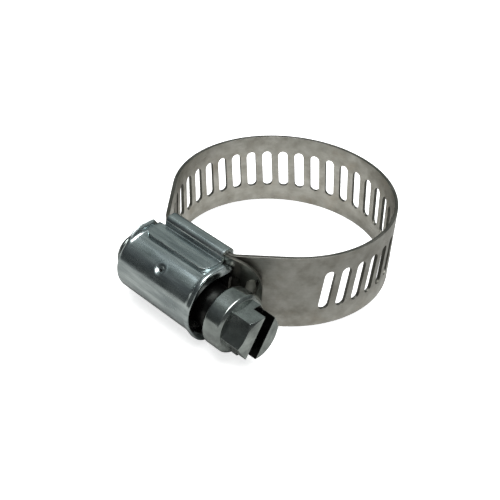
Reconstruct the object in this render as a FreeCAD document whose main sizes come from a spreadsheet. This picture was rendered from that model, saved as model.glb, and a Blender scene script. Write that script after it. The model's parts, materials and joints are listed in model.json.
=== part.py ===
"""Worm-drive hose clamp: slotted band, saddle, housing and captive hex-head worm screw.

The origin is the centre of the hose bore, half way up the band. +Z runs along the hose,
+X along the screw towards its head, and the housing sits on the -Y side.
"""
import FreeCAD, Part
import math
import os
import Sketcher
from FreeCAD import Placement, Rotation, Vector

doc = FreeCAD.newDocument("hose_clamp")

# Driving dimensions, in millimetres and degrees.
DIMENSIONS = {
    "bore_radius": 19.4,       # the hose that the loop is closed to
    "band_width": 14.3,        # 9/16 inch strip
    "band_thick": 0.64,
    "slot_pitch": 3.19,        # the worm's lead, and the spacing of the slots
    "slot_long": 7.7,
    "slot_wide": 1.85,
    "slot_lean": 6.0,          # lead angle of the thread at the band
    "first_slot": -25.1,       # polar angle of the loop's first slot
    "ring_slots": 27,
    "run_slots": 4,            # slots on the straight stretch before the housing
    "run_first": 1.36,         # from the end of the arc to the first of them
    "head_lean": 45.0,         # slope of the loop where it leaves the housing's head side
    "rear_lean": 48.8,         # the same where it comes in at the rear
    "bend_radius": 1.5,        # middle of the band, where it bends into the saddle
    "fixed_tip": 4.5,          # the plain end's inner tip, behind the saddle's middle
    "loop_tip": 6.1,           # the loop's other end, inside the housing
    "strip_start": 2.77,       # the free end's own start, inside the housing
    "strip_tip": 7.0,          # where the free end leaves the housing and the tail begins
    "strip_slot": 1.17,        # first slot of the free end, behind the middle
    "strip_slots": 3,
    "tail_lean": 36.0,         # the tail bends in towards the hose
    "tail_bend": 4.0,
    "tail_straight": 3.8,
    "tail_corner": 5.0,
    "tail_slot": 8.37,         # the tail's two slots
    "tail_slot_apart": 2.33,
    "plate_gap": 0.05,         # saddle's inner face outside the bore
    "saddle_thick": 0.7,
    "layer_gap": 0.06,         # free end over plain end
    "edge_gap": 0.15,          # band's edges to the saddle's channel
    "lip_gap": 0.11,           # free end to the channel's lips
    "channel_rear": 6.8,
    "channel_front": 6.6,
    "channel_round": 1.2,
    "ear_rear": 8.0,
    "ear_front": 6.7,
    "ear_edge": 26.0,          # ears' free edge, from the bore's axis
    "ear_corner": 1.4,
    "screw_height": 25.54,     # screw's axis from the bore's axis
    "barrel_radius": 5.6,
    "barrel_wall": 0.75,
    "barrel_rear": 9.6,
    "barrel_front": 8.5,
    "rear_round": 0.6,
    "rim_radius": 6.05,
    "rim_long": 0.8,
    "rear_hole": 4.35,
    "end_wall": 0.7,
    "lip_rear": 6.2,           # inner lip round the screw's neck
    "neck_hole": 3.37,
    "stop_reach": 7.0,         # stops on the housing's sides, beside the ears' ends
    "stop_near": 22.6,
    "stop_far": 25.3,
    "thread_root": 3.9,
    "thread_crest": 4.62,
    "tooth_root": 1.35,        # a tooth's axial width at its root and at its crest
    "tooth_crest": 0.85,
    "thread_first": 4.36,      # first tooth on the band's side, behind the middle
    "thread_turns": 3,
    "pilot_radius": 4.15,
    "pilot_rear": 12.2,
    "pilot_front": 8.3,
    "pilot_round": 1.1,
    "ridge_deep": 0.35,
    "ridge_pitch": 0.9,
    "core_front": 6.1,
    "neck_radius": 3.3,
    "shoulder_rear": 7.0,
    "shoulder_radius": 3.8,
    "collar_rear": 11.2,
    "collar_radius": 5.25,
    "collar_edge": 0.35,
    "hex_rear": 14.9,
    "hex_front": 19.2,
    "hex_flats": 7.94,         # 5/16 inch across flats
    "hex_chamfer": 0.6,
    "drive_wide": 2.7,         # screwdriver slot
    "drive_deep": 2.6,
    "drive_turn": 60.0,
}


class Size:
    """A number and the spreadsheet formula that gives it."""

    def __init__(self, value, formula):
        self.value = value
        self.formula = formula

    def __add__(self, other):
        other = as_size(other)
        return Size(self.value + other.value, f"({self.formula} + {other.formula})")

    def __sub__(self, other):
        other = as_size(other)
        return Size(self.value - other.value, f"({self.formula} - {other.formula})")

    def __mul__(self, other):
        other = as_size(other)
        return Size(self.value * other.value, f"({self.formula} * {other.formula})")

    def __truediv__(self, other):
        other = as_size(other)
        return Size(self.value / other.value, f"({self.formula} / {other.formula})")

    def __neg__(self):
        return Size(-self.value, f"(-1 * {self.formula})")


def as_size(number):
    return number if isinstance(number, Size) else Size(float(number), repr(float(number)))


def make_sheet():
    """Writes the driving dimensions to a spreadsheet and returns them as named sizes."""
    sheet = doc.addObject("Spreadsheet::Sheet", "sizes")
    for row, (alias, value) in enumerate(DIMENSIONS.items(), start=1):
        sheet.set(f"A{row}", alias.replace("_", " "))
        sheet.set(f"B{row}", str(value))
        sheet.setAlias(f"B{row}", alias)
    doc.recompute()
    return {a: Size(float(sheet.get(a)), f"sizes.{a}") for a in DIMENSIONS}


SIZE = make_sheet()


def get(alias):
    return SIZE[alias]


def bind(obj, prop, amount):
    obj.setExpression(prop, as_size(amount).formula)


# ---------------------------------------------------------------- sketches and bodies
def new_body(label):
    body = doc.addObject("PartDesign::Body", label)
    body.Label = label
    return body


def origin_feature(body, role):
    return next(f for f in body.Origin.OriginFeatures if f.Role == role)


def new_sketch(body, name, role, turn=None):
    """A sketch on one of the body's origin planes, or on that plane turned about its upright axis."""
    sketch = body.newObject("Sketcher::SketchObject", name)
    sketch.AttachmentSupport = (origin_feature(body, role), [""])
    sketch.MapMode = "FlatFace"
    if turn is not None:
        sketch.AttachmentOffset = Placement(Vector(), Rotation(Vector(0, 1, 0), turn.value))
        bind(sketch, "AttachmentOffset.Rotation.Angle", turn)
    return sketch


def dimension(sketch, amount, *args):
    """A dimension of a sketch, tied to the sheet."""
    index = sketch.addConstraint(Sketcher.Constraint(*args, as_size(amount).value))
    bind(sketch, f"Constraints[{index}]", amount)


def outline(sketch, corners):
    """A closed polygon with each corner's two distances from the origin tied to the sheet."""
    corners = [(as_size(a), as_size(b)) for a, b in corners]
    points = [Vector(a.value, b.value, 0) for a, b in corners]
    count = len(points)
    for i in range(count):
        sketch.addGeometry(Part.LineSegment(points[i], points[(i + 1) % count]))
    for i in range(count):
        sketch.addConstraint(Sketcher.Constraint("Coincident", i, 2, (i + 1) % count, 1))
    for i, (across, up) in enumerate(corners):
        dimension(sketch, across, "DistanceX", -1, 1, i, 1)
        dimension(sketch, up, "DistanceY", -1, 1, i, 1)


def slot_outline(sketch, middle):
    """One slot of the band: two round ends joined by straight sides, leaning by the lead angle."""
    lean = math.radians(get("slot_lean").value)
    radius = get("slot_wide") / 2
    reach = (get("slot_long") - get("slot_wide")) / 2
    along = Vector(math.sin(lean), math.cos(lean), 0)
    across = Vector(along.y, -along.x, 0)
    centre = Vector(middle.value, 0, 0)
    ends = [centre + along * reach.value, centre - along * reach.value]
    start = -lean
    for i, end in enumerate(ends):
        circle = Part.Circle(end, Vector(0, 0, 1), radius.value)
        begin = start + i * math.pi
        sketch.addGeometry(Part.ArcOfCircle(circle, begin, begin + math.pi))
    sides = [(ends[0] - across * radius.value, ends[1] - across * radius.value),
             (ends[1] + across * radius.value, ends[0] + across * radius.value)]
    for side in sides:
        sketch.addGeometry(Part.LineSegment(*side))
    for first, first_end, second, second_end in ((0, 2, 2, 1), (2, 2, 1, 1), (1, 2, 3, 1), (3, 2, 0, 1)):
        sketch.addConstraint(Sketcher.Constraint("Tangent", first, first_end, second, second_end))
    dimension(sketch, radius, "Radius", 0)
    sketch.addConstraint(Sketcher.Constraint("Equal", 0, 1))
    spread = reach * 2
    dimension(sketch, spread, "Distance", 0, 3, 1, 3)
    top_across = middle + reach * Size(math.sin(lean), "sin(sizes.slot_lean * 1 deg)")
    top_up = reach * Size(math.cos(lean), "cos(sizes.slot_lean * 1 deg)")
    dimension(sketch, top_across, "DistanceX", -1, 1, 0, 3)
    dimension(sketch, top_up, "DistanceY", -1, 1, 0, 3)
    dimension(sketch, -top_up, "DistanceY", -1, 1, 1, 3)


def pocket(body, sketch, name):
    """Cuts a sketch from its plane outwards, right through."""
    cut = body.newObject("PartDesign::Pocket", name)
    cut.Profile = sketch
    cut.Type = "ThroughAll"
    cut.Reversed = True
    return cut


# ---------------------------------------------------------------- places that several pieces share
PLATE_INNER = get("bore_radius") + get("plate_gap")
PLATE_OUTER = PLATE_INNER + get("saddle_thick")
FIXED_MIDDLE = PLATE_OUTER + get("band_thick") / 2
FREE_INNER = PLATE_OUTER + get("band_thick") + get("layer_gap")
FREE_OUTER = FREE_INNER + get("band_thick")
FREE_MIDDLE = FREE_INNER + get("band_thick") / 2
LIP_INNER = FREE_OUTER + get("lip_gap")
LIP_OUTER = LIP_INNER + get("saddle_thick")
LOOP_RADIUS = get("bore_radius") + get("band_thick") / 2
CHANNEL_HALF = get("band_width") / 2 + get("edge_gap")
NEAR = 0.01                    # how close an edge has to lie to where it is looked for
OVERLAP = 0.1                  # how far one solid reaches into the next
RIDGE_SHARE = 0.3              # half of a groove's width, as a share of the pitch
SLOT_STEP = get("slot_pitch") / LOOP_RADIUS * Size(180 / math.pi, "(180 / pi)")


# ---------------------------------------------------------------- band
def band_route(body):
    """Middle line of the loop, seen from above: plain end, bend, run, arc, run, bend, rear end.

    The arc is in two: the plain strip, then the slotted strip.
    """
    sketch = new_sketch(body, "band_route", "XY_Plane")
    radius, bend = LOOP_RADIUS.value, get("bend_radius").value
    fixed_y, free_y = -FIXED_MIDDLE.value, -FREE_MIDDLE.value

    def side(lean, level, sign):
        """Bend's centre and the tangent points, for the head side (+1) or the rear side (-1)."""
        lean = math.radians(lean)
        out = Vector(sign * math.sin(lean), -math.cos(lean), 0)
        centre_y = level + bend
        centre_x = sign * (bend_gap(radius - bend, centre_y, lean))
        centre = Vector(centre_x, centre_y, 0)
        return centre, centre + out * bend, out * radius, Vector(centre_x, level, 0)

    def bend_gap(gap, centre_y, lean):
        return (gap + centre_y * math.cos(lean)) / math.sin(lean)

    head = side(get("head_lean").value, fixed_y, 1)
    rear = side(get("rear_lean").value, free_y, -1)
    head_turn = math.radians(get("head_lean").value)
    rear_turn = math.radians(get("rear_lean").value)
    down = -math.pi / 2
    up = Vector(0, 0, 1)
    split = math.radians((get("first_slot") - SLOT_STEP / 2).value)
    sketch.addGeometry(Part.LineSegment(Vector(-get("fixed_tip").value, fixed_y, 0), head[3]))
    sketch.addGeometry(Part.ArcOfCircle(Part.Circle(head[0], up, bend), down, down + head_turn))
    sketch.addGeometry(Part.LineSegment(head[1], head[2]))
    ring = Part.Circle(Vector(), up, radius)
    sketch.addGeometry(Part.ArcOfCircle(ring, down + head_turn, split))
    sketch.addGeometry(Part.ArcOfCircle(ring, split, down - rear_turn + 2 * math.pi))
    sketch.addGeometry(Part.LineSegment(rear[2], rear[1]))
    sketch.addGeometry(Part.ArcOfCircle(Part.Circle(rear[0], up, bend), down - rear_turn, down))
    sketch.addGeometry(Part.LineSegment(rear[3], Vector(-get("loop_tip").value, free_y, 0)))
    for i in (0, 1, 2, 4, 5, 6):
        sketch.addConstraint(Sketcher.Constraint("Tangent", i, 2, i + 1, 1))
    sketch.addConstraint(Sketcher.Constraint("Coincident", 3, 2, 4, 1))
    sketch.addConstraint(Sketcher.Constraint("Coincident", 3, 3, -1, 1))
    sketch.addConstraint(Sketcher.Constraint("Coincident", 4, 3, -1, 1))
    sketch.addConstraint(Sketcher.Constraint("Horizontal", 0))
    sketch.addConstraint(Sketcher.Constraint("Horizontal", 7))
    dimension(sketch, LOOP_RADIUS, "Radius", 3)
    split_point = LOOP_RADIUS * Size(
        math.cos(split), f"cos({(get('first_slot') - SLOT_STEP / 2).formula} * 1 deg)")
    dimension(sketch, split_point, "DistanceX", -1, 1, 3, 2)
    dimension(sketch, get("bend_radius"), "Radius", 1)
    dimension(sketch, get("bend_radius"), "Radius", 6)
    dimension(sketch, -get("fixed_tip"), "DistanceX", -1, 1, 0, 1)
    dimension(sketch, -FIXED_MIDDLE, "DistanceY", -1, 1, 0, 1)
    dimension(sketch, -get("loop_tip"), "DistanceX", -1, 1, 7, 2)
    dimension(sketch, -FREE_MIDDLE, "DistanceY", -1, 1, 7, 2)
    head_point = LOOP_RADIUS * Size(math.sin(head_turn), "sin(sizes.head_lean * 1 deg)")
    rear_point = LOOP_RADIUS * Size(math.sin(rear_turn), "sin(sizes.rear_lean * 1 deg)")
    dimension(sketch, head_point, "DistanceX", -1, 1, 2, 2)
    dimension(sketch, -rear_point, "DistanceX", -1, 1, 5, 1)
    return sketch


def make_band_loop():
    """Plain end, loop and the slotted stretch up to the housing's mouth."""
    body = new_body("band_loop")
    route = band_route(body)
    strip = new_sketch(body, "band_section", "YZ_Plane")
    strip.AttachmentOffset = Placement(Vector(0, 0, -get("fixed_tip").value), Rotation())
    bind(strip, "AttachmentOffset.Base.z", -get("fixed_tip"))
    half = get("band_width") / 2
    near, far = -PLATE_OUTER, -(PLATE_OUTER + get("band_thick"))
    outline(strip, [(near, -half), (near, half), (far, half), (far, -half)])
    sweep = body.newObject("PartDesign::AdditivePipe", "band_strip")
    sweep.Profile = strip
    sweep.Spine = route
    slot = new_sketch(body, "ring_slot", "YZ_Plane", get("first_slot"))
    slot_outline(slot, as_size(0))
    first = pocket(body, slot, "ring_slot_cut")
    ring = body.newObject("PartDesign::PolarPattern", "ring_slots")
    ring.Originals = [first]
    ring.Axis = (origin_feature(body, "Z_Axis"), [""])
    bind(ring, "Angle", SLOT_STEP * (get("ring_slots") - 1))
    bind(ring, "Occurrences", get("ring_slots"))
    body.Tip = ring
    doc.recompute()
    turn = as_size(180) - get("rear_lean") + 90
    line = new_sketch(body, "run_slot", "YZ_Plane", turn)
    slot_outline(line, get("run_first"))
    run_cut = pocket(body, line, "run_slot_cut")
    run = body.newObject("PartDesign::LinearPattern", "run_slots")
    run.Originals = [run_cut]
    run.Direction = (line, ["H_Axis"])
    bind(run, "Length", get("slot_pitch") * (get("run_slots") - 1))
    bind(run, "Occurrences", get("run_slots"))
    body.Tip = run
    for feature in (sweep, first, ring, run_cut, run):
        feature.Refine = False     # the plain strip and the slotted strip stay two faces
    return body


def make_free_end():
    """The band's slotted free end where it is flat: under the worm and over the plain end."""
    body = new_body("band_free_end")
    half = get("band_width") / 2
    start, tip = -get("strip_start"), get("strip_tip")
    strip = new_sketch(body, "strip_outline", "XZ_Plane")
    outline(strip, [(start, -half), (start, half), (tip, half), (tip, -half)])
    pad = body.newObject("PartDesign::Pad", "flat_strip")
    pad.Profile = strip
    bind(pad, "Length", get("band_thick"))
    doc.recompute()
    slot = new_sketch(body, "strip_slot", "XZ_Plane")
    slot_outline(slot, -get("strip_slot"))
    first = pocket(body, slot, "strip_slot_cut")
    row = body.newObject("PartDesign::LinearPattern", "strip_slots")
    row.Originals = [first]
    row.Direction = (slot, ["H_Axis"])
    bind(row, "Length", get("slot_pitch") * (get("strip_slots") - 1))
    bind(row, "Occurrences", get("strip_slots"))
    body.Tip = row
    body.Placement = Placement(Vector(0, -FREE_INNER.value, 0), Rotation())
    bind(body, "Placement.Base.y", -FREE_INNER)
    return body


def tail_route(body):
    """Middle line of the tail, seen from above: a bend, then straight to the tip."""
    route = new_sketch(body, "tail_route", "XY_Plane")
    bend, straight = get("tail_bend"), get("tail_straight")
    lean = math.radians(get("tail_lean").value)
    centre = Vector(get("strip_tip").value, bend.value - FREE_MIDDLE.value, 0)
    down = -math.pi / 2
    turn_end = centre + Vector(math.sin(lean), -math.cos(lean), 0) * bend.value
    tip = turn_end + Vector(math.cos(lean), math.sin(lean), 0) * straight.value
    circle = Part.Circle(centre, Vector(0, 0, 1), bend.value)
    route.addGeometry(Part.ArcOfCircle(circle, down, down + lean))
    route.addGeometry(Part.LineSegment(turn_end, tip))
    route.addConstraint(Sketcher.Constraint("Tangent", 0, 2, 1, 1))
    dimension(route, bend, "Radius", 0)
    dimension(route, get("strip_tip"), "DistanceX", -1, 1, 0, 3)
    dimension(route, bend - FREE_MIDDLE, "DistanceY", -1, 1, 0, 3)
    dimension(route, get("strip_tip"), "DistanceX", -1, 1, 0, 1)
    dimension(route, straight, "Distance", 1)
    rise = straight * Size(math.sin(lean), "sin(sizes.tail_lean * 1 deg)")
    dimension(route, rise, "DistanceY", 1, 1, 1, 2)
    return route


def corner_outline(sketch, side):
    """What is cut off one corner of the tail, on the +1 or the -1 side, to leave it round."""
    lean = math.radians(get("tail_lean").value)
    reach = get("tail_bend") * Size(math.sin(lean), "sin(sizes.tail_lean * 1 deg)")
    run = get("tail_straight") * Size(math.cos(lean), "cos(sizes.tail_lean * 1 deg)")
    tip = get("strip_tip") + reach + run
    radius, edge, spare = get("tail_corner"), get("band_width") / 2, as_size(1)
    up = as_size(side)
    corners = [(tip, (edge - radius) * up), (tip + spare, (edge - radius) * up),
               (tip + spare, (edge + spare) * up), (tip - radius, (edge + spare) * up),
               (tip - radius, edge * up)]
    points = [Vector(a.value, b.value, 0) for a, b in corners]
    first = sketch.GeometryCount
    for i in range(4):
        sketch.addGeometry(Part.LineSegment(points[i], points[i + 1]))
    centre = Vector((tip - radius).value, ((edge - radius) * up).value, 0)
    circle = Part.Circle(centre, Vector(0, 0, 1), radius.value)
    begin = 0 if side > 0 else -math.pi / 2
    sketch.addGeometry(Part.ArcOfCircle(circle, begin, begin + math.pi / 2))
    for i in range(3):
        sketch.addConstraint(Sketcher.Constraint("Coincident", first + i, 2, first + i + 1, 1))
    arc = first + 4
    arc_low, arc_high = (1, 2) if side > 0 else (2, 1)
    sketch.addConstraint(Sketcher.Constraint("Coincident", first, 1, arc, arc_low))
    sketch.addConstraint(Sketcher.Constraint("Coincident", first + 3, 2, arc, arc_high))
    for i, (across, high) in enumerate(corners[:4]):
        dimension(sketch, across, "DistanceX", -1, 1, first + i, 1)
        dimension(sketch, high, "DistanceY", -1, 1, first + i, 1)
    dimension(sketch, corners[4][0], "DistanceX", -1, 1, first + 3, 2)
    dimension(sketch, corners[4][1], "DistanceY", -1, 1, first + 3, 2)
    dimension(sketch, radius, "Radius", arc)


def make_band_tail():
    """The last of the free end: it springs in towards the hose and ends in a round tongue."""
    body = new_body("band_tail")
    route = tail_route(body)
    strip = new_sketch(body, "tail_section", "YZ_Plane")
    strip.AttachmentOffset = Placement(Vector(0, 0, get("strip_tip").value), Rotation())
    bind(strip, "AttachmentOffset.Base.z", get("strip_tip"))
    half = get("band_width") / 2
    outline(strip, [(-FREE_INNER, -half), (-FREE_INNER, half), (-FREE_OUTER, half), (-FREE_OUTER, -half)])
    sweep = body.newObject("PartDesign::AdditivePipe", "tail_strip")
    sweep.Profile = strip
    sweep.Spine = route
    corners = new_sketch(body, "tail_corners", "XZ_Plane")
    for side in (1, -1):
        corner_outline(corners, side)
    pocket(body, corners, "tail_corner_cut")
    for i, place in enumerate((get("tail_slot"), get("tail_slot") + get("tail_slot_apart"))):
        slot = new_sketch(body, f"tail_slot_{i}", "XZ_Plane")
        slot_outline(slot, place)
        pocket(body, slot, f"tail_slot_cut_{i}")
    return body


# ---------------------------------------------------------------- solids for the pressed parts
def box(name, x0, x1, y0, y1, z0, z1):
    """A block between three pairs of planes."""
    solid = doc.addObject("Part::Box", name)
    for prop, low, high, axis in (("Length", x0, x1, "x"), ("Width", y0, y1, "y"), ("Height", z0, z1, "z")):
        low, high = as_size(low), as_size(high)
        bind(solid, prop, high - low)
        bind(solid, f"Placement.Base.{axis}", low)
    return solid


def rod(name, radius, x0, x1):
    """A cylinder on the screw's axis."""
    solid = doc.addObject("Part::Cylinder", name)
    solid.Placement = Placement(Vector(), Rotation(Vector(0, 1, 0), 90))
    bind(solid, "Radius", radius)
    bind(solid, "Height", as_size(x1) - as_size(x0))
    bind(solid, "Placement.Base.x", x0)
    bind(solid, "Placement.Base.y", -get("screw_height"))
    return solid


def join(name, *solids):
    fused = doc.addObject("Part::MultiFuse", name)
    fused.Shapes = list(solids)
    fused.Refine = True
    return fused


def cut(name, base, tool):
    result = doc.addObject("Part::Cut", name)
    result.Base, result.Tool = base, tool
    result.Refine = True
    return result


def rounded(name, base, radius, wanted):
    """Fillets the edges that the test picks out."""
    doc.recompute()
    edges = [i for i, edge in enumerate(base.Shape.Edges, start=1) if wanted(edge)]
    fillet = doc.addObject("Part::Fillet", name)
    fillet.Base = base
    fillet.Edges = [(i, radius.value, radius.value) for i in edges]
    return fillet


def make_saddle():
    """Pressed cradle: plate under the band, channels round its edges, ears up the housing's sides."""
    rear, front = -get("channel_rear"), get("channel_front")
    thick = get("saddle_thick")
    side = CHANNEL_HALF + thick
    leg = get("barrel_radius")
    shell = box("saddle_block", rear, front, -LIP_OUTER, -PLATE_INNER, -side, side)
    ears = box("ear_block", -get("ear_rear"), get("ear_front"), -get("ear_edge"), -LIP_INNER,
               -(leg + thick), leg + thick)
    hollow = box("band_space", rear - 1, front + 1, -LIP_INNER, -PLATE_OUTER, -CHANNEL_HALF, CHANNEL_HALF)
    between = box("housing_space", -get("ear_rear") - 1, get("ear_front") + 1,
                  -get("ear_edge") - 1, -LIP_INNER + OVERLAP / 10, -leg, leg)

    def long_edge(edge, y, z):
        middle = edge.CenterOfMass
        return edge.Length > 5 and abs(middle.y - y) < NEAR and abs(abs(middle.z) - z) < NEAR

    block = rounded("saddle_round", shell, get("channel_round"), lambda e: any(
        long_edge(e, y, side.value) for y in (-LIP_OUTER.value, -PLATE_INNER.value)))
    whole = join("saddle_whole", block, ears)
    open_channel = cut("saddle_channel", whole, hollow)
    saddle_open = cut("saddle_open", open_channel, between)

    def ear_corner(edge):
        middle = edge.CenterOfMass
        at_edge = abs(middle.y + get("ear_edge").value) < NEAR
        return at_edge and edge.Length < 1 and abs(middle.z) > leg.value

    saddle = rounded("saddle", saddle_open, get("ear_corner"), ear_corner)
    return saddle


def make_housing():
    """Pressed cover over the worm: an arch with legs, a flared rim, a rear end wall and a neck lip."""
    rear, front = -get("barrel_rear"), get("barrel_front")
    outer, wall = get("barrel_radius"), get("barrel_wall")
    inner = outer - wall
    axis, foot = -get("screw_height"), -LIP_INNER
    barrel = rod("barrel", outer, rear, front)
    legs = box("legs", rear, front, axis, foot, -outer, outer)
    arch = join("arch", barrel, legs)

    def rear_edge(edge):
        middle = edge.CenterOfMass
        return abs(middle.x - rear.value) < NEAR and middle.y < foot.value - NEAR

    soft_arch = rounded("arch_round", arch, get("rear_round"), rear_edge)
    rim = rod("rim", get("rim_radius"), front - get("rim_long"), front)
    reach = get("stop_reach")
    near, far = -get("stop_near"), -get("stop_far")
    gap = get("plate_gap")
    rear_stops = box("rear_stops", rear, -get("ear_rear") - gap, far, near, -reach, reach)
    front_stops = box("front_stops", get("ear_front") + gap, front, far, near, -reach, reach)
    inside_rear = rear + get("end_wall")
    bore = rod("worm_space", inner, inside_rear, get("lip_rear"))
    trough = box("worm_trough", inside_rear, get("lip_rear"), axis, foot + 1, -inner, inner)
    rear_way = rod("rear_way", get("rear_hole"), rear - 1, inside_rear + 1)
    neck_way = rod("neck_way", get("neck_hole"), get("lip_rear") - 1, front + 1)
    mouth_rear = get("shoulder_rear") - OVERLAP
    mouth = rod("mouth", inner, mouth_rear, front + 1)
    mouth_trough = box("mouth_trough", mouth_rear, front + 1, axis, foot + 1, -inner, inner)
    under = box("under_feet", rear - 1, front + 1, foot, foot + outer, -reach - 1, reach + 1)
    solid = join("housing_solid", soft_arch, rim, rear_stops, front_stops)
    spaces = join("housing_spaces", bore, trough, rear_way, neck_way, mouth, mouth_trough, under)
    housing = cut("housing", solid, spaces)
    return housing


# ---------------------------------------------------------------- worm screw
def make_worm_screw():
    """One turned and rolled piece. It is drawn along its own Z, its band side on +Y."""
    body = new_body("worm_screw")
    profile = new_sketch(body, "core_profile", "YZ_Plane")
    root, pilot = get("thread_root"), get("pilot_radius")
    rear = -get("pilot_rear")
    soft = get("pilot_round")
    neck, shoulder, collar = get("neck_radius"), get("shoulder_radius"), get("collar_radius")
    edge = get("collar_edge")
    outline(profile, [
        (as_size(0), rear), (pilot - soft, rear), (pilot, rear + soft), (pilot, -get("pilot_front")),
        (root, -get("pilot_front")), (root, get("core_front")),
        (neck, get("core_front")), (neck, get("shoulder_rear")),
        (shoulder, get("shoulder_rear")), (shoulder, get("collar_rear")),
        (collar - edge, get("collar_rear")), (collar, get("collar_rear") + edge),
        (collar, get("hex_rear") - edge), (collar - edge, get("hex_rear")), (as_size(0), get("hex_rear"))])
    core = body.newObject("PartDesign::Revolution", "core")
    core.Profile = profile
    core.ReferenceAxis = (profile, ["V_Axis"])
    doc.recompute()
    tooth = new_sketch(body, "tooth_profile", "YZ_Plane")
    start = -get("thread_first")
    crest, base = get("thread_crest"), root - 2 * OVERLAP
    base_half, crest_half = get("tooth_root") / 2, get("tooth_crest") / 2
    outline(tooth, [(base, start - base_half), (crest, start - crest_half),
                    (crest, start + crest_half), (base, start + base_half)])
    thread = body.newObject("PartDesign::AdditiveHelix", "thread")
    thread.Profile = tooth
    thread.ReferenceAxis = (tooth, ["V_Axis"])
    thread.Mode = "pitch-turns-angle"
    bind(thread, "Pitch", get("slot_pitch"))
    bind(thread, "Turns", get("thread_turns"))
    doc.recompute()
    ridge = new_sketch(body, "ridge_profile", "YZ_Plane")
    first_ridge = -get("pilot_front") - get("ridge_pitch")
    deep, half = get("ridge_deep"), get("ridge_pitch") * RIDGE_SHARE
    outline(ridge, [(pilot + OVERLAP, first_ridge - half), (pilot + OVERLAP, first_ridge + half),
                    (pilot - deep, first_ridge)])
    groove = body.newObject("PartDesign::Groove", "ridge")
    groove.Profile = ridge
    groove.ReferenceAxis = (ridge, ["V_Axis"])
    ridges = body.newObject("PartDesign::LinearPattern", "ridges")
    ridges.Originals = [groove]
    ridges.Direction = (ridge, ["V_Axis"])
    ridges.Reversed = True
    bind(ridges, "Length", get("ridge_pitch") * 2)
    bind(ridges, "Occurrences", as_size(3))
    body.Tip = ridges
    doc.recompute()
    hexagon = new_sketch(body, "hex_outline", "XY_Plane")
    flats = get("hex_flats")
    corner = flats * Size(1 / math.sqrt(3), "(1 / sqrt(3))")
    half_corner = corner / 2
    outline(hexagon, [(as_size(0), corner), (flats / 2, half_corner), (flats / 2, -half_corner),
                      (as_size(0), -corner), (-flats / 2, -half_corner), (-flats / 2, half_corner)])
    root_x = get("hex_rear") - OVERLAP
    hexagon.AttachmentOffset = Placement(Vector(0, 0, root_x.value), Rotation())
    bind(hexagon, "AttachmentOffset.Base.z", root_x)
    head = body.newObject("PartDesign::Pad", "hex")
    head.Profile = hexagon
    bind(head, "Length", get("hex_front") - root_x)
    doc.recompute()
    bevel = new_sketch(body, "bevel_profile", "YZ_Plane")
    top, face = get("hex_front"), flats / 2
    chamfer = get("hex_chamfer")
    near, far = face - chamfer, corner + 1
    slope = (far - near) * Size(math.tan(math.radians(30)), "tan(30 deg)")
    outline(bevel, [(near, top), (far, top - slope), (far, top + 1), (near, top + 1)])
    bevel_cut = body.newObject("PartDesign::Groove", "bevel")
    bevel_cut.Profile = bevel
    bevel_cut.ReferenceAxis = (bevel, ["V_Axis"])
    doc.recompute()
    drive = new_sketch(body, "drive_outline", "XY_Plane")
    turn = get("drive_turn")
    drive.AttachmentOffset = Placement(Vector(0, 0, top.value), Rotation(Vector(0, 0, 1), turn.value))
    bind(drive, "AttachmentOffset.Base.z", top)
    bind(drive, "AttachmentOffset.Rotation.Angle", turn)
    wide, long = get("drive_wide") / 2, corner + 1
    outline(drive, [(-wide, -long), (wide, -long), (wide, long), (-wide, long)])
    drive_cut = body.newObject("PartDesign::Pocket", "drive_slot")
    drive_cut.Profile = drive
    bind(drive_cut, "Length", get("drive_deep"))
    body.Placement = Placement(Vector(0, -get("screw_height").value, 0), Rotation(Vector(0, 1, 0), 90))
    bind(body, "Placement.Base.y", -get("screw_height"))
    return body


# ---------------------------------------------------------------- build, test and write
def write(pieces):
    doc.recompute()
    for obj in doc.Objects:
        if "Invalid" in obj.State or "Error" in obj.State:
            raise RuntimeError(f"{obj.Name} failed: {obj.State}")
    os.makedirs("parts", exist_ok=True)
    for piece in pieces:
        shape = piece.Shape
        if shape.isNull() or not shape.isValid():
            raise RuntimeError(f"{piece.Label} has no valid shape")
        if len(shape.Solids) != 1:
            raise RuntimeError(f"{piece.Label} has {len(shape.Solids)} solids")
        ends = shape.BoundBox
        print(piece.Label, round(shape.Volume, 2), "mm3", [round(v, 2) for v in (
            ends.XMin, ends.XMax, ends.YMin, ends.YMax, ends.ZMin, ends.ZMax)])
        shape.exportStep(f"parts/{piece.Label}.step")


write([make_housing(), make_saddle(), make_band_loop(), make_free_end(), make_band_tail(),
       make_worm_screw()])
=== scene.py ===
"""A worm-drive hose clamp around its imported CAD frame: slotted band, saddle, housing and worm screw.

Shapes are worked out in millimetres and become metres when a mesh is made. The frame's origin is
the middle of the hose bore, +Z runs along the hose, +X along the screw towards its head, and the
housing is on the -Y side.
"""
import json
import math
import bmesh
import bpy
from mathutils import Matrix, Vector


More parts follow.
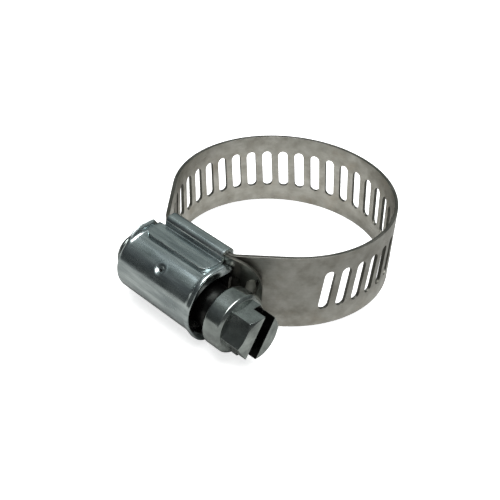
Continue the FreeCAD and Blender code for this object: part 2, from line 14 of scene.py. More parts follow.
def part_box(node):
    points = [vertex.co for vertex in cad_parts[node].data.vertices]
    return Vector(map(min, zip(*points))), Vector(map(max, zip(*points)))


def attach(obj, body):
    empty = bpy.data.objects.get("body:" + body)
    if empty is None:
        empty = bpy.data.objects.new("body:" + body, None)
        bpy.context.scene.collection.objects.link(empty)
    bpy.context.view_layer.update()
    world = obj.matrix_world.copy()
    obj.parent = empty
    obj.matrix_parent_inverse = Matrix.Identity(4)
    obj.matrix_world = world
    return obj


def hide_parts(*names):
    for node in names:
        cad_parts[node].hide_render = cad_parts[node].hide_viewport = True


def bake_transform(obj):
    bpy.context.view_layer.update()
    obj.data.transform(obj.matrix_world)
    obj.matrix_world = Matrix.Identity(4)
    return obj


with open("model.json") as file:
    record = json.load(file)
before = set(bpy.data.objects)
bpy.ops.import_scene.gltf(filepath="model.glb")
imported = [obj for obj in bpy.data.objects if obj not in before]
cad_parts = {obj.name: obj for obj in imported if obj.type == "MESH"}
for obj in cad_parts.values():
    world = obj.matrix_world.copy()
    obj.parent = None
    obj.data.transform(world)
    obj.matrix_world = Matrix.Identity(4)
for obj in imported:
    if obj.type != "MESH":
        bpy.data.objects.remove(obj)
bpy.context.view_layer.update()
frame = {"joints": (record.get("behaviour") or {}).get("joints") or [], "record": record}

MM = 0.001
MOUNTS = {mount["name"]: mount for mount in frame["record"]["mounts"]}
JOINTS = {joint["name"]: joint for joint in frame["joints"]}


def box_mm(node):
    """Lowest and highest corner of a CAD node, in millimetres."""
    return [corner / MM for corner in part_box(node)]


# ---------------------------------------------------------------- sizes, from the frame
BORE = MOUNTS["hose_bore"]["dims"]["r_mm"]
WIDTH = MOUNTS["hose_bore"]["dims"]["length_mm"]
SCREW_Y = JOINTS["screw_spin"]["pos_m"][1] / MM
PITCH = JOINTS["band_feed"]["range_m"][1] / MM
STRIP_LOW, STRIP_HIGH = box_mm("band_free_end")
SADDLE_LOW, SADDLE_HIGH = box_mm("saddle")
HOUSING_LOW, HOUSING_HIGH = box_mm("housing")
SCREW_LOW, SCREW_HIGH = box_mm("worm_screw")

THICK = STRIP_HIGH.y - STRIP_LOW.y
FREE_Y = (STRIP_HIGH.y + STRIP_LOW.y) / 2       # middle of the free end, under the worm
FIXED_Y = FREE_Y + THICK + 0.06                 # middle of the plain end, under the free end
LOOP_R = BORE + THICK / 2
SLOT_WIDE = 1.85
SLOT_LONG = 7.7
SLOT_LEAN = math.radians(6)
FIRST_SLOT = -25.1                              # polar angle of the loop's first slot, in degrees
STRIP_SLOT = -1.17                              # X of the free end's first slot
HEAD_LEAN = 45.0                                # slope of the band where it leaves the saddle
REAR_LEAN = 48.8                                # the same where it comes in at the rear
BEND_R = 1.5
PLAIN_TIP = -4.5                                # X of the plain end's tip, under the free end
LOOP_TIP = -6.1                                 # X where the loop ends inside the housing
TAIL_LEAN = 36.0
TAIL_BEND = 4.0


# ---------------------------------------------------------------- plane paths
class Route:
    """A plane path of straight runs and tangent arcs, read by its length."""

    def __init__(self, start, heading):
        self.parts = []
        self.length = 0.0
        self.here = Vector(start)
        self.heading = math.radians(heading)

    def add(self, length, bend):
        self.parts.append((self.length, length, self.here.copy(), self.heading, bend))
        self.here, self.heading = self.step(self.here, self.heading, bend, length)
        self.length += length
        return self

    @staticmethod
    def step(point, heading, bend, length):
        """The point and heading after a length of a part whose curvature is bend."""
        if not bend:
            return point + Vector((math.cos(heading), math.sin(heading))) * length, heading
        end = heading + bend * length
        shift = Vector((math.sin(end) - math.sin(heading), math.cos(heading) - math.cos(end)))
        return point + shift / bend, end

    def line(self, length):
        return self.add(length, 0.0)

    def arc(self, radius, turn):
        """An arc that turns left by so many degrees, or right if they are negative."""
        return self.add(radius * math.radians(abs(turn)), math.copysign(1 / radius, turn))

    def at(self, length):
        """The point and heading so far along the route, or straight on past its ends."""
        for start, size, point, heading, bend in reversed(self.parts):
            if length >= start - 1e-9:
                inside = min(length - start, size)
                point, heading = self.step(point, heading, bend, inside)
                return self.step(point, heading, 0.0, length - start - inside)
        start, size, point, heading, bend = self.parts[0]
        return self.step(point, heading, 0.0, length - start)

    def marks(self, first, last, run=1.5, turn=3.0):
        """Lengths between two places, close enough for smooth arcs, with every change of part."""
        found = [first]
        for start, size, point, heading, bend in self.parts:
            low, high = max(first, start), min(last, start + size)
            if high - low > 1e-6:
                step = min(run, math.radians(turn) / abs(bend)) if bend else run
                count = max(1, math.ceil((high - low) / step))
                found += [low + (high - low) * i / count for i in range(count + 1)]
        found.append(last)
        found.sort()
        return [found[0]] + [b for a, b in zip(found, found[1:]) if b - a > 1e-4]


def fillet(corners, step=15.0):
    """A line through (x, y, radius) corners, each one rounded in steps of so many degrees."""
    points = [Vector(c[:2]) for c in corners]
    line = []
    for i, (x, y, radius) in enumerate(corners):
        here = points[i]
        if not radius or i in (0, len(corners) - 1):
            line.append(here)
            continue
        back, on = (points[i - 1] - here).normalized(), (points[i + 1] - here).normalized()
        half = math.acos(max(-1.0, min(1.0, back.dot(on)))) / 2
        reach = radius / math.tan(half)
        centre = here + (back + on).normalized() * (radius / math.sin(half))
        start, end = here + back * reach - centre, here + on * reach - centre
        sweep = start.angle_signed(end)
        count = max(2, math.ceil(abs(math.degrees(sweep)) / step))
        for j in range(count + 1):
            line.append(centre + Matrix.Rotation(-sweep * j / count, 2) @ start)
    return line


def smooth(value):
    """Eases from 0 to 1 as the value does, and stays level beyond."""
    value = max(0.0, min(1.0, value))
    return value * value * (3 - 2 * value)


# ---------------------------------------------------------------- materials
def set_stops(ramp, stops):
    """Gives a colour ramp its stops, which are pairs of a place and a colour."""
    while len(ramp.elements) < len(stops):
        ramp.elements.new(0.5)
    for element, (at, colour) in zip(ramp.elements, stops):
        element.position = at
        element.color = (*colour, 1)


class Nodes:
    """A short way to write a material's node tree."""

    def __init__(self, name):
        self.material = bpy.data.materials.new(name)
        self.material.use_nodes = True
        self.tree = self.material.node_tree
        self.shader = self.tree.nodes["Principled BSDF"]

    def put(self, value, socket):
        """Links a node's output to a socket, or sets the socket to a number or a colour."""
        if isinstance(value, bpy.types.NodeSocket):
            self.tree.links.new(value, socket)
        elif socket.type == "RGBA":
            socket.default_value = (*value, 1)
        else:
            socket.default_value = value

    def new(self, kind, inputs=None, **settings):
        node = self.tree.nodes.new("ShaderNode" + kind)
        for key, value in settings.items():
            setattr(node, key, value)
        for key, value in (inputs or {}).items():
            self.put(value, node.inputs[key])
        return node

    def place(self, scale):
        """Object coordinates, in metres, stretched by a scale on each axis."""
        where = self.new("TexCoord")
        return self.new("Mapping", {"Vector": where.outputs["Object"], "Scale": scale}).outputs[0]

    def noise(self, scale, detail, rough):
        node = self.new("TexNoise", {"Vector": self.place(scale), "Scale": 1.0, "Detail": detail,
                                     "Roughness": rough})
        return node.outputs["Fac"]

    def ramp(self, value, stops):
        node = self.new("ValToRGB", {"Fac": value})
        set_stops(node.color_ramp, stops)
        return node.outputs["Color"]

    def spread(self, value, low, high, out_low, out_high):
        node = self.new("MapRange", {"Value": value, "From Min": low, "From Max": high,
                                     "To Min": out_low, "To Max": out_high})
        return node.outputs[0]

    def mix(self, amount, first, second):
        node = self.new("Mix", data_type="RGBA")
        for index, value in ((0, amount), (6, first), (7, second)):
            self.put(value, node.inputs[index])
        return node.outputs[2]

    def feed(self, name, value):
        self.put(value, self.shader.inputs[name])

    def bump(self, height, strength, distance):
        node = self.new("Bump", {"Height": height, "Strength": strength, "Distance": distance * MM})
        self.feed("Normal", node.outputs[0])


def stainless(name, dark, light, rough):
    """Rolled stainless strip: fine lines along it, warm grey, with faint olive and brown stains."""
    m = Nodes(name)
    stain = m.noise((330, 330, 420), 6, 0.62)
    lines = m.noise((60, 60, 6000), 3, 0.7)
    middle = tuple(d * 0.45 + l * 0.55 for d, l in zip(dark, light))
    colour = m.ramp(stain, [(0.3, dark), (0.5, middle), (0.68, light)])
    rust = m.spread(m.noise((190, 190, 260), 5, 0.6), 0.55, 0.75, 0.0, 0.35)
    colour = m.mix(rust, colour, tuple(c * k for c, k in zip(dark, (1.15, 0.95, 0.75))))
    m.feed("Base Color", m.mix(m.spread(lines, 0.3, 0.7, 0.0, 0.2), colour, dark))
    m.feed("Metallic", 1.0)
    m.feed("Roughness", m.spread(m.noise((300, 300, 2400), 4, 0.6), 0.3, 0.7, rough, rough + 0.14))
    m.bump(lines, 0.12, 0.02)
    return m.material


def zinc(name, grain, dark, light, rough):
    """Zinc plate with a cool, slightly green cast; grain is its streaks' scale on each axis."""
    m = Nodes(name)
    streak = m.noise(grain, 5, 0.6)
    patch = m.noise((240, 240, 240), 4, 0.55)
    colour = m.ramp(streak, [(0.32, dark), (0.52, tuple((a + b) / 2 for a, b in zip(dark, light))),
                             (0.7, light)])
    m.feed("Base Color", m.mix(m.spread(patch, 0.4, 0.75, 0.0, 0.5), colour, dark))
    m.feed("Metallic", 1.0)
    m.feed("Roughness", m.spread(patch, 0.3, 0.7, rough - 0.06, rough + 0.1))
    m.bump(m.noise((700, 1500, 1500), 4, 0.6), 0.16, 0.03)
    return m.material


steel = stainless("stainless_strip", (0.3, 0.285, 0.25), (0.53, 0.52, 0.485), 0.27)
# The tail's strip is much darker than the band's: painted shade, for the shade that the screw's head and
# collar cast on the tail.
painted_shade_tail = stainless("painted_shade_tail_strip", (0.1, 0.1, 0.088), (0.2, 0.2, 0.185), 0.3)
sheared = stainless("sheared_edge", (0.1, 0.1, 0.085), (0.2, 0.195, 0.175), 0.4)
plate = zinc("zinc_plate", (110, 900, 900), (0.36, 0.41, 0.42), (0.84, 0.91, 0.9), 0.2)
screw_zinc = zinc("screw_zinc", (350, 420, 420), (0.26, 0.28, 0.27), (0.6, 0.65, 0.62), 0.2)
# Near-black zinc: painted shade in the recesses, on the housing's inside, the screw's core, neck and
# shoulder, and the head's slot.
painted_recess_shade = zinc("recess_painted_shade", (400, 500, 500), (0.02, 0.02, 0.019), (0.06, 0.06, 0.057), 0.3)


# ---------------------------------------------------------------- meshes
def shade_smooth(mesh):
    for polygon in mesh.polygons:
        polygon.use_smooth = True


def new_object(name, bm, *materials):
    """An object from a mesh in millimetres: its faces point out and its shading is smooth."""
    bmesh.ops.remove_doubles(bm, verts=bm.verts, dist=1e-4)
    bmesh.ops.recalc_face_normals(bm, faces=bm.faces)
    bmesh.ops.scale(bm, vec=(MM, MM, MM), verts=bm.verts)
    mesh = bpy.data.meshes.new(name)
    bm.to_mesh(mesh)
    bm.free()
    shade_smooth(mesh)
    for material in materials:
        mesh.materials.append(material)
    obj = bpy.data.objects.new(name, mesh)
    bpy.context.scene.collection.objects.link(obj)
    return obj


def settle(obj):
    """Applies the modifiers."""
    graph = bpy.context.evaluated_depsgraph_get()
    bpy.context.view_layer.update()
    mesh = bpy.data.meshes.new_from_object(obj.evaluated_get(graph))
    obj.modifiers.clear()
    old, obj.data = obj.data, mesh
    mesh.name = old.name
    bpy.data.meshes.remove(old)
    return obj


def thicken(obj, thick):
    """Gives a middle surface its sheet's thickness; its last material goes on the cut edges."""
    shell = obj.modifiers.new("sheet", "SOLIDIFY")
    shell.material_offset_rim = len(obj.data.materials) - 1
    shell.thickness = thick * MM
    shell.offset = 0
    return obj


def soften(obj, width, angle=40.0, segments=2):
    """Rounds the sharp edges a little and keeps the flats flat."""
    edge = obj.modifiers.new("edges", "BEVEL")
    edge.width = width * MM
    edge.segments = segments
    edge.limit_method = "ANGLE"
    edge.angle_limit = math.radians(angle)
    obj.modifiers.new("flats", "WEIGHTED_NORMAL")
    return obj


class Sheet:
    """A middle surface drawn on a flat (length, height) plan and then placed in space."""

    def __init__(self, place):
        self.bm = bmesh.new()
        self.place = place
        self.made = {}

    def vertex(self, along, up):
        key = (round(along, 4), round(up, 4))
        if key not in self.made:
            self.made[key] = self.bm.verts.new(self.place(along, up))
        return self.made[key]

    def face(self, *corners):
        self.bm.faces.new([self.vertex(*corner) for corner in corners])

    def plain(self, columns, levels):
        for a, b in zip(columns, columns[1:]):
            for low, high in zip(levels, levels[1:]):
                self.face((a, low), (b, low), (b, high), (a, high))


STRAIGHT_FACES, BENT_FACES = 4, 12              # across a slot's stretch, for slot_cell
HALF = WIDTH / 2
SLOT_R = SLOT_WIDE / 2
SLOT_STRAIGHT = (SLOT_LONG - SLOT_WIDE) / 2
SHOULDER = (HALF + SLOT_STRAIGHT) / 2
LEVELS = [-HALF, -SHOULDER, -SLOT_STRAIGHT, -SLOT_STRAIGHT / 2, 0,
          SLOT_STRAIGHT / 2, SLOT_STRAIGHT, SHOULDER, HALF]


def slot_cell(sheet, middle, low, high, across):
    """One slot in its stretch of strip, as a ring of faces from the slot to the stretch's border.

    across is how many faces the stretch has from side to side, past each end of the slot.
    """
    inside, border = [], []

    def pair(along, up, border_along, border_up):
        leaning = Matrix.Rotation(-SLOT_LEAN, 2) @ Vector((along, up))
        inside.append((middle + leaning.x, leaning.y))
        border.append((border_along, border_up))

    def half_ring(sign):
        """Up one side of the slot and round its end; sign -1 is down the other side."""
        right, left = (high, low) if sign > 0 else (low, high)
        for up in LEVELS[2:7]:
            pair(sign * SLOT_R, sign * up, right, sign * up)
        count = across + 4
        for i in range(1, count):
            angle = math.pi * i / count
            if i <= 2:
                at = (right, (SHOULDER, HALF)[i - 1])
            elif i < count - 2:
                at = (right + (left - right) * (i - 2) / across, HALF)
            else:
                at = (left, (HALF, SHOULDER)[i - count + 2])
            pair(sign * SLOT_R * math.cos(angle), sign * (SLOT_STRAIGHT + SLOT_R * math.sin(angle)),
                 at[0], sign * at[1])

    half_ring(1)
    half_ring(-1)
    for i, here in enumerate(inside):
        on = (i + 1) % len(inside)
        sheet.face(here, border[i], border[on], inside[on])


def strip(name, route, last, slots, shape=None, tip=None, surface=steel):
    """Slotted strip along a plane route as far as last; tip is the outline beyond that."""
    shape = shape or (lambda along, up: up)

    def place(along, up):
        point, heading = route.at(along)
        return point.x, point.y, shape(along, up)

    sheet = Sheet(place)
    here = 0.0
    for i, middle in enumerate(slots):
        low = middle - PITCH / 2 if i == 0 else (slots[i - 1] + middle) / 2
        high = (middle + slots[i + 1]) / 2 if i + 1 < len(slots) else middle + PITCH / 2
        low, high = max(low, 0.0), min(high, last)
        if low > here + 1e-3:
            sheet.plain(route.marks(here, low), LEVELS)
        turn = abs(math.degrees(route.at(high)[1] - route.at(low)[1]))
        slot_cell(sheet, middle, low, high, BENT_FACES if turn > 15 else STRAIGHT_FACES)
        here = high
    if last > here + 1e-3:
        sheet.plain(route.marks(here, last), LEVELS)
    if tip:
        column = [sheet.vertex(last, up) for up in LEVELS]
        ends = []
        for along, up in tip:
            point, heading = route.at(along)
            ends.append(sheet.bm.verts.new((point.x, point.y, up)))
        sheet.bm.faces.new(column + ends)
    obj = thicken(new_object(name, sheet.bm, surface, sheared), THICK)
    return settle(soften(obj, 0.07))


# ---------------------------------------------------------------- band
def loop_route():
    """Middle of the loop: plain end, bend, run, arc, run, bend, up to the loop's end in the housing."""
    head, rear = math.radians(HEAD_LEAN), math.radians(REAR_LEAN)
    head_bend, rear_bend = (BEND_R * math.tan(lean / 2) for lean in (head, rear))
    head_x = LOOP_R * math.sin(head) - (-FIXED_Y - LOOP_R * math.cos(head)) / math.tan(head)
    rear_x = -LOOP_R * math.sin(rear) + (-FREE_Y - LOOP_R * math.cos(rear)) / math.tan(rear)
    head_run = (-FIXED_Y - LOOP_R * math.cos(head)) / math.sin(head) - head_bend
    rear_run = (-FREE_Y - LOOP_R * math.cos(rear)) / math.sin(rear) - rear_bend
    route = Route((PLAIN_TIP, FIXED_Y), 0)
    route.line(head_x - head_bend - PLAIN_TIP).arc(BEND_R, HEAD_LEAN).line(head_run)
    route.arc(LOOP_R, 360 - HEAD_LEAN - REAR_LEAN)
    route.line(rear_run).arc(BEND_R, REAR_LEAN).line(LOOP_TIP - rear_x - rear_bend)
    return route


def make_loop():
    """The strip from its plain end, once round, to just inside the housing's rear."""
    route = loop_route()
    arc_start = route.parts[3][0]
    slot = arc_start + LOOP_R * math.radians(FIRST_SLOT + HEAD_LEAN)
    slots = []
    while slot + PITCH / 2 < route.length + 0.3:
        slots.append(slot)
        slot += PITCH
    return strip("band", route, route.length, slots)


def make_free_strip():
    """The slotted strip between the worm's teeth, hidden in the housing."""
    start, end = STRIP_LOW.x, 2.9
    route = Route((start, FREE_Y), 0).line(end - start)
    slots = [STRIP_SLOT - start, STRIP_SLOT + PITCH - start]
    return strip("band_in_housing", route, route.length, slots)


def make_tail():
    """The tail: out of the housing's mouth, bent in towards the hose, with a round tip."""
    start, straight, corner = 3.3, 3.75, 5.7
    second_slot, third_slot = 1.4, 4.18         # past the flat stretch
    flat = STRIP_HIGH.x - start
    route = Route((start, FREE_Y), 0).line(flat).arc(TAIL_BEND, TAIL_LEAN).line(straight)
    slots = [STRIP_SLOT + 2 * PITCH - start, flat + second_slot, flat + third_slot]
    last = slots[-1] + SLOT_R + 0.2
    slot_end = SLOT_LONG / 2 + 0.1
    centre = route.length - corner              # of the tip's round corners

    def reach(along):
        """Half the tongue's width."""
        inside = max(0.0, along - centre)
        return HALF - corner + math.sqrt(max(0.0, corner ** 2 - inside ** 2))

    def shape(along, up):
        """Draws the metal outside the slots in to the tongue's width."""
        size = abs(up)
        if size > slot_end:
            size = slot_end + (size - slot_end) * (reach(along) - slot_end) / (HALF - slot_end)
        return math.copysign(size, up)

    first_turn = math.asin((last - centre) / corner)
    side = []
    steps = 16
    for i in range(1, steps + 1):
        turn = first_turn + (math.pi / 2 - first_turn) * i / steps
        side.append((centre + corner * math.sin(turn), HALF - corner + corner * math.cos(turn)))
    tip = side + [(along, -up) for along, up in reversed(side)]
    # The tail's surface is the darker strip of painted shade.
    return strip("band_tail_visible", route, last, slots, shape, tip, painted_shade_tail)


# ---------------------------------------------------------------- saddle
SHEET_T = 0.7
EAR_Z = SADDLE_HIGH.z - 2.05                    # middle of the ears' sheet
EAR_CORNER = 1.5
LIP_Y = -21.95                                  # middle of the lips that hold the band's edges


def saddle_route():
    """Cross-section of the cradle, in the (Y, Z) plane: ear, groove, rolled edge, plate, and back."""
    side_z = SADDLE_HIGH.z - SHEET_T / 2
    edge_y, plate_y = SADDLE_LOW.y + 0.02, SADDLE_HIGH.y - SHEET_T / 2
    groove, roll = 0.6, 0.8
    ear = LIP_Y - groove - edge_y
    route = Route((edge_y, EAR_Z), 0)
    route.line(ear).arc(groove, 90).line(side_z - roll - EAR_Z - groove).arc(roll, -90)
    route.line(plate_y - LIP_Y - 2 * roll).arc(roll, -90).line(2 * (side_z - roll))
    route.arc(roll, -90).line(plate_y - LIP_Y - 2 * roll).arc(roll, -90)
    route.line(side_z - roll - EAR_Z - groove).arc(groove, 90).line(ear)
    return route, ear


def make_saddle():
    """The pressed cradle: its ears lie on the housing's sides, its channels wrap the band's edges."""
    route, ear = saddle_route()
    total = route.length
    rear_ear, front_ear = SADDLE_LOW.x, SADDLE_HIGH.x
    rear_channel, front_channel = -6.8, 6.6

    def ends(along):
        """The sheet's two ends in X, so far along the section."""
        side = min(along, total - along)
        cut = 0.0
        if side < EAR_CORNER:
            cut = EAR_CORNER - math.sqrt(EAR_CORNER ** 2 - (EAR_CORNER - side) ** 2)
        blend = smooth((side - ear + 0.3) / 1.1)
        rear = rear_ear + cut + (rear_channel - rear_ear) * blend
        front = front_ear - cut + (front_channel - front_ear) * blend
        return rear, front

    def place(across, along):
        rear, front = ends(along)
        point, heading = route.at(along)
        return rear + (front - rear) * across, point.x, point.y

    near_tip = [EAR_CORNER * (1 - math.cos(math.radians(a))) for a in range(0, 91, 10)]
    rows = near_tip + [m for m in route.marks(0, total, 0.5, 9) if EAR_CORNER < m < total - EAR_CORNER]
    rows += [total - m for m in reversed(near_tip)]
    rows = sorted(set(round(r, 4) for r in rows))
    sheet = Sheet(place)
    columns = 28
    sheet.plain([i / columns for i in range(columns + 1)], rows)
    obj = thicken(new_object("saddle_visible", sheet.bm, plate), SHEET_T)
    return settle(soften(obj, 0.14, 50, 3))


# ---------------------------------------------------------------- housing
BARREL_R = 5.6
LEG = HOUSING_HIGH.y - SCREW_Y                  # from the screw's axis to the feet
REAR_X, FRONT_X = HOUSING_LOW.x, HOUSING_HIGH.x
WALL = 0.75
LIP_REAR, LIP_FRONT, LIP_DEEP = 6.2, 6.9, 2.2   # inner lip round the screw's neck


def housing_section():
    """The shell's closed section along the screw: x, and how far out of the barrel's own surface."""
    corners = [
        (REAR_X + 0.75, -1.25, 0), (REAR_X + 0.1, -1.25, 0.12), (REAR_X, 0.0, 0.95),
        (FRONT_X - 1.3, 0.0, 0.5), (FRONT_X - 0.8, 0.1, 0.3), (FRONT_X, 0.06, 0.3),
        (FRONT_X - 0.02, -0.62, 0.12), (LIP_FRONT, -WALL, 0.1),
        (LIP_FRONT - 0.02, -LIP_DEEP, 0.1), (LIP_REAR, -LIP_DEEP, 0.1),
        (LIP_REAR - 0.02, -WALL, 0.1), (REAR_X + 0.75, -WALL, 0.1),
        (REAR_X + 0.75, -1.25, 0)]
    line = fillet(corners)
    fine = []
    for a, b in zip(line, line[1:]):
        outer = a.y > -0.01 and b.y > -0.01
        count = max(1, round((b - a).length / (0.2 if outer else 1.5)))
        fine += [a.lerp(b, i / count) for i in range(count)]
    return fine


def make_housing():
    """The pressed cover over the worm, flared at both ends beside the ears, with one dimple."""
    arch = Route((HOUSING_HIGH.y, BARREL_R), 180).line(LEG).arc(BARREL_R, 180).line(LEG)
    section = housing_section()
    dimple_x, dimple_turn, dimple_r, dimple_deep = -0.3, 48.0, 1.05, 0.36
    rear_flare, front_flare = 1.4, 1.7          # how far the wings stand out
    skin = 0.6                                  # how deep the pressing reaches into the wall

    def lift(x, along):
        """How far the outer surface is pressed out, or in, of the plain arch."""
        middle = arch.length / 2
        turn = math.degrees((along - middle) / BARREL_R)
        side = abs(turn)
        foot = min(along, arch.length - along)
        wing = smooth((side - 44) / 40) * smooth((foot - 0.4) / 1.2)
        rear = math.exp(-((x - REAR_X - 0.62) / 0.42) ** 2) * smooth((x - REAR_X + 0.2) / 0.5)
        front = smooth((x - FRONT_X + 1.45) / 0.75) * 0.62
        front_wing = smooth((side - 30) / 50) * smooth((foot - 0.4) / 1.2)
        out = rear_flare * wing * rear + front_flare * front_wing * front
        gap = math.hypot(x - dimple_x, math.radians(turn + dimple_turn) * BARREL_R) / dimple_r
        dent = -dimple_deep * smooth((1 - gap) / 0.75)
        ring = 0.04 * math.exp(-((gap - 1.12) / 0.16) ** 2)
        return out + dent + ring

    bm = bmesh.new()
    rows = arch.marks(0, arch.length, 0.25, 2.5)
    grid = []
    for along in rows:
        point, heading = arch.at(along)
        out = Vector((math.sin(heading), -math.cos(heading)))
        ring = []
        for spot in section:
            offset = spot.y
            if offset > -skin:
                offset += lift(spot.x, along) * smooth((spot.y + skin) / skin)
            place = point + out * offset
            ring.append(bm.verts.new((spot.x, place.x, place.y)))
        grid.append(ring)
    count = len(section)
    for a, b in zip(grid, grid[1:]):
        for i in range(count):
            j = (i + 1) % count
            bm.faces.new((a[i], a[j], b[j], b[i]))
    bm.faces.new(grid[0])
    bm.faces.new(list(reversed(grid[-1])))
    return settle(soften(new_object("housing_visible", bm, plate), 0.05, 60))


# ---------------------------------------------------------------- worm screw
CORE_REAR, CORE_FRONT, CORE_R = -8.3, 6.1, 3.9
NECK_R = 3.3
SHOULDER_REAR, SHOULDER_R = 7.0, 3.78
COLLAR_REAR, COLLAR_FRONT, COLLAR_R = 11.2, 14.95, 5.25
HEX_REAR, FLATS = 14.8, 7.94
DRIVE_WIDE, DRIVE_DEEP = 2.7, 2.6
DRIVE_TURN = math.radians(60)


def revolve(bm, line, count=96):
    """A closed solid of revolution about the screw's axis from an (x, radius) line."""
    rings = []
    for spot in line:
        if spot.y < 1e-6:
            rings.append([bm.verts.new((spot.x, SCREW_Y, 0))])
            continue
        ring = []
        for i in range(count):
            turn = 2 * math.pi * i / count
            ring.append(bm.verts.new((spot.x, SCREW_Y + spot.y * math.cos(turn), spot.y * math.sin(turn))))
        rings.append(ring)
    for a, b in zip(rings, rings[1:]):
        for i in range(count):
            j = (i + 1) % count
            corners = [a[i % len(a)], b[i % len(b)], b[j % len(b)], a[j % len(a)]]
            bm.faces.new(list(dict.fromkeys(corners)))


def make_screw():
    """The screw's turned stock: ridged rear end, core, neck and collar, rear to front."""
    rear = SCREW_LOW.x
    corners = [
        (rear, 0, 0), (rear, 2.6, 0.7), (rear + 0.75, 3.45, 0.5), (rear + 1.25, 3.62, 0.1),
        (rear + 1.45, 3.4, 0.08), (rear + 1.65, 3.8, 0.1), (rear + 1.95, 3.9, 0.1),
        (rear + 2.15, 3.55, 0.08), (rear + 2.35, 4.0, 0.1), (rear + 2.65, 4.05, 0.1),
        (rear + 2.85, 3.7, 0.08), (rear + 3.05, 4.1, 0.12), (CORE_REAR, 4.1, 0.1),
        (CORE_REAR + 0.02, CORE_R, 0.05), (CORE_FRONT, CORE_R, 0.1),
        (CORE_FRONT + 0.05, NECK_R, 0.05), (SHOULDER_REAR, NECK_R, 0.05),
        (SHOULDER_REAR + 0.02, SHOULDER_R, 0.1), (COLLAR_REAR, SHOULDER_R, 0.1),
        (COLLAR_REAR, COLLAR_R - 0.25, 0.18), (COLLAR_REAR + 0.4, COLLAR_R, 0.25),
        (COLLAR_FRONT - 0.45, COLLAR_R, 0.3), (COLLAR_FRONT - 0.03, COLLAR_R - 0.55, 0.2),
        (COLLAR_FRONT, 0, 0)]
    bm = bmesh.new()
    revolve(bm, fillet(corners))
    return settle(soften(new_object("worm_screw_visible", bm, screw_zinc), 0.03, 60, 1))


def make_thread():
    """The worm's ridge, three turns with a right-hand lead."""
    bm = bmesh.new()
    steps, turns, start = 64, 3, -4.36
    side = [(0.68, 3.7), (0.42, 4.55), (0.32, 4.62)]        # half width and radius, root to crest
    profile = [(-half, r) for half, r in side] + side[::-1]
    rings = []
    for i in range(steps * turns + 1):
        turn = 2 * math.pi * i / steps
        x = start + PITCH * i / steps
        rings.append([bm.verts.new((x + along, SCREW_Y + r * math.cos(turn), -r * math.sin(turn)))
                      for along, r in profile])
    for a, b in zip(rings, rings[1:]):
        for j in range(len(profile)):
            k = (j + 1) % len(profile)
            bm.faces.new((a[j], a[k], b[k], b[j]))
    bm.faces.new(rings[0])
    bm.faces.new(list(reversed(rings[-1])))
    return settle(soften(new_object("worm_thread", bm, screw_zinc), 0.03, 60, 1))


def make_head():
    """The slotted hex, with its turned chamfer."""
    front = SCREW_HIGH.x
    corner_r = FLATS / math.sqrt(3)
    bm = bmesh.new()
    rings = []
    for x in (HEX_REAR, front):
        rings.append([bm.verts.new((x, SCREW_Y + corner_r * math.cos(math.radians(60 * i)),
                                    corner_r * math.sin(math.radians(60 * i)))) for i in range(6)])
    for i in range(6):
        j = (i + 1) % 6
        bm.faces.new((rings[0][i], rings[0][j], rings[1][j], rings[1][i]))
    bm.faces.new(rings[0])
    bm.faces.new(list(reversed(rings[1])))
    head = new_object("hex_head", bm, screw_zinc)

    cone = bmesh.new()
    face_r, slope = FLATS / 2 - 0.1, math.tan(math.radians(30))
    wide = corner_r + 1
    revolve(cone, [Vector((HEX_REAR - 1, 0)), Vector((HEX_REAR - 1, wide)),
                   Vector((front - (wide - face_r) * slope, wide)),
                   Vector((front, face_r)), Vector((front, 0))], 128)
    chamfer = new_object("chamfer_tool", cone)

    slot = bmesh.new()
    bmesh.ops.create_cube(slot, size=1)
    deep, long = 4, 14                          # the cutter runs past the head on three sides
    place = Matrix.Translation((front - DRIVE_DEEP + deep / 2, SCREW_Y, 0))
    turn = Matrix.Rotation(DRIVE_TURN, 4, "X")
    stretch = Matrix.Diagonal((deep, long, DRIVE_WIDE, 1))
    bmesh.ops.transform(slot, verts=slot.verts, matrix=place @ turn @ stretch)
    cutter = new_object("slot_tool", slot)

    for tool, kind in ((chamfer, "INTERSECT"), (cutter, "DIFFERENCE")):
        step = head.modifiers.new(kind.lower(), "BOOLEAN")
        step.operation = kind
        step.object = tool
        step.solver = "EXACT"
    settle(head)
    for tool in (chamfer, cutter):
        bpy.data.objects.remove(tool)
    clean = bmesh.new()
    clean.from_mesh(head.data)
    bmesh.ops.remove_doubles(clean, verts=clean.verts, dist=0.03 * MM)
    bmesh.ops.dissolve_limit(clean, angle_limit=math.radians(0.5), verts=clean.verts, edges=clean.edges)
    clean.to_mesh(head.data)
    clean.free()
    shade_smooth(head.data)
    return settle(soften(head, 0.12, 26))


# ---------------------------------------------------------------- pieces
def darken(obj, inside):
    """Paints shade, with the near-black zinc, on the faces whose middle, in millimetres, passes a test."""
    obj.data.materials.append(painted_recess_shade)
    for polygon in obj.data.polygons:
        if inside(polygon.center / MM):
            polygon.material_index = 1


def in_shell(spot):
    """Tells whether a spot is on the housing's inside, under the arch or between the legs."""
    across = math.hypot(spot.y - SCREW_Y, spot.z) if spot.y < SCREW_Y else abs(spot.z)
    return across < BARREL_R - 0.35 and spot.x > REAR_X + 1


def in_neck(spot):
    """Tells whether a spot is on the screw between its rear end and its collar."""
    return CORE_REAR < spot.x < COLLAR_REAR - 0.05


def in_drive(spot):
    """Tells whether a spot is in the head's screwdriver slot."""
    y, deep = spot.y - SCREW_Y, SCREW_HIGH.x - spot.x
    across = abs(y * math.sin(DRIVE_TURN) - spot.z * math.cos(DRIVE_TURN))
    near = across < DRIVE_WIDE / 2 + 0.05 and math.hypot(y, spot.z) < 3.8
    return near and 0.2 < deep < DRIVE_DEEP + 0.6


def dress(obj, body, slot, *nodes):
    """Attaches a piece to its body, if it has one, and hides the CAD nodes that it stands for; slot is not
    used.
    """
    if body:
        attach(obj, body)
    if nodes:
        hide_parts(*nodes)
    return obj


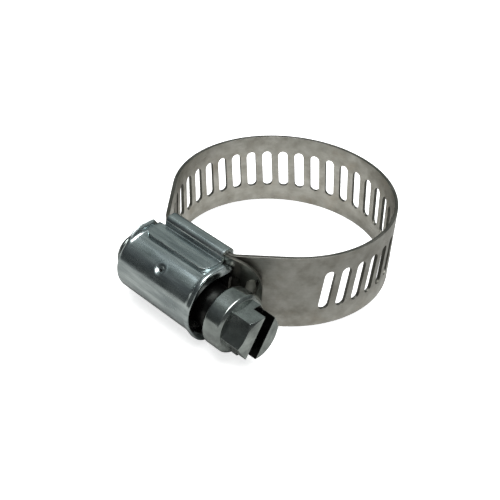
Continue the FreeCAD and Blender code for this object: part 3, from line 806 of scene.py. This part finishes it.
dress(make_loop(), "root", "band", "band_loop")
dress(make_free_strip(), "free_end", "band", "band_free_end")
tail = dress(make_tail(), None, "band", "band_tail")
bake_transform(tail)
dress(make_saddle(), "root", "housing", "saddle")
housing = dress(make_housing(), "root", "housing", "housing")
screw = dress(make_screw(), "worm", "screw", "worm_screw")
dress(make_thread(), "worm", "screw")
head = dress(make_head(), "worm", "screw")
# Painted shade in the recesses: the housing's inside, the screw's core, neck and shoulder, and the head's
# slot.
darken(housing, in_shell)
darken(screw, in_neck)
darken(head, in_drive)


# ---------------------------------------------------------------- stage
def direction(azimuth, elevation):
    """A unit vector away from the clamp, at angles in degrees from the -Y side and the floor."""
    turn, rise = math.radians(azimuth), math.radians(elevation)
    return Vector((math.sin(turn) * math.cos(rise), -math.cos(turn) * math.cos(rise), math.sin(rise)))


def make_floor():
    """A floor that is white to the camera and a darker grey in the metal's reflections."""
    bm = bmesh.new()
    bmesh.ops.create_grid(bm, x_segments=1, y_segments=1, size=2500)
    floor = new_object("floor", bm)
    floor.location.z = SADDLE_LOW.z * MM
    m = Nodes("floor_white")
    seen = m.new("LightPath").outputs["Is Camera Ray"]
    far = m.new("VectorMath", {"Vector": m.new("TexCoord").outputs["Object"]}, operation="LENGTH")
    # In reflections the floor is painted lighter near the clamp and darker further out: painted light and
    # shade for the metal to mirror.
    mirrored = m.ramp(m.spread(far.outputs["Value"], 0.014, 0.026, 0.0, 1.0),
                      [(0.0, (0.62, 0.62, 0.6)), (1.0, (0.33, 0.33, 0.32))])
    m.feed("Base Color", m.mix(seen, mirrored, (0.93, 0.93, 0.93)))
    m.feed("Emission Color", (1, 1, 1))
    m.feed("Emission Strength", m.spread(seen, 0.0, 1.0, 0.0, 0.72))
    m.feed("Roughness", 1.0)
    m.feed("Specular IOR Level", 0.0)
    floor.data.materials.append(m.material)


def soft_box(name, azimuth, elevation, distance, size, watts, colour=(1, 1, 1)):
    """An area light that looks at the clamp from an azimuth, 0 being the -Y side."""
    light = bpy.data.lights.new(name, "AREA")
    light.shape = "RECTANGLE"
    light.size, light.size_y = size[0] * MM, size[1] * MM
    light.energy = watts
    light.color = colour
    lamp = bpy.data.objects.new(name, light)
    bpy.context.scene.collection.objects.link(lamp)
    out = direction(azimuth, elevation)
    aim = Vector((0, -8, 0))
    lamp.location = (aim + out * distance) * MM
    lamp.rotation_euler = out.to_track_quat("Z", "Y").to_euler()
    return lamp


def make_sky():
    """A dark room, a little lighter overhead and behind the clamp."""
    world = bpy.data.worlds.new("studio")
    world.use_nodes = True
    tree = world.node_tree
    shade = tree.nodes["Background"]
    where = tree.nodes.new("ShaderNodeTexCoord")
    split = tree.nodes.new("ShaderNodeSeparateXYZ")
    tree.links.new(where.outputs["Generated"], split.inputs[0])
    tilt = tree.nodes.new("ShaderNodeMath")
    tilt.operation = "MULTIPLY_ADD"
    tree.links.new(split.outputs["Y"], tilt.inputs[0])
    tilt.inputs[1].default_value = 0.35
    tree.links.new(split.outputs["Z"], tilt.inputs[2])
    ramp = tree.nodes.new("ShaderNodeValToRGB")
    tree.links.new(tilt.outputs[0], ramp.inputs[0])
    stops = [(0.0, (0.05, 0.055, 0.055)), (0.4, (0.09, 0.1, 0.105)), (0.75, (0.24, 0.27, 0.26)),
             (1.0, (0.35, 0.38, 0.38))]
    set_stops(ramp.color_ramp, stops)
    tree.links.new(ramp.outputs[0], shade.inputs["Color"])
    bpy.context.scene.world = world


def make_camera():
    """The camera looks down at the clamp from its head end, a little rolled."""
    azimuth, elevation, roll = 41.85, 35.94, math.radians(-4.52)
    aim = Vector((1.66, -10.05, 0))
    distance, lens = 175.2, 72.29
    back = direction(azimuth, elevation)
    right = direction(azimuth + 90, 0)
    up = back.cross(right)
    data = bpy.data.cameras.new("camera")
    data.lens, data.sensor_width = lens, 36
    data.clip_start, data.clip_end = 0.005, 20
    camera = bpy.data.objects.new("camera", data)
    rolled_right = right * math.cos(roll) - up * math.sin(roll)
    rolled_up = right * math.sin(roll) + up * math.cos(roll)
    turn = Matrix((rolled_right, rolled_up, back)).transposed().to_4x4()
    camera.matrix_world = Matrix.Translation((aim + back * distance) * MM) @ turn
    bpy.context.scene.collection.objects.link(camera)
    bpy.context.scene.camera = camera


make_floor()
make_sky()
soft_box("key", 68, 74, 1300, (1150, 1150), 26.0)
soft_box("edge", -72, 57, 900, (420, 45), 0.055, (0.85, 0.93, 1.0))
make_camera()
bpy.context.scene.view_settings.view_transform = "Standard"
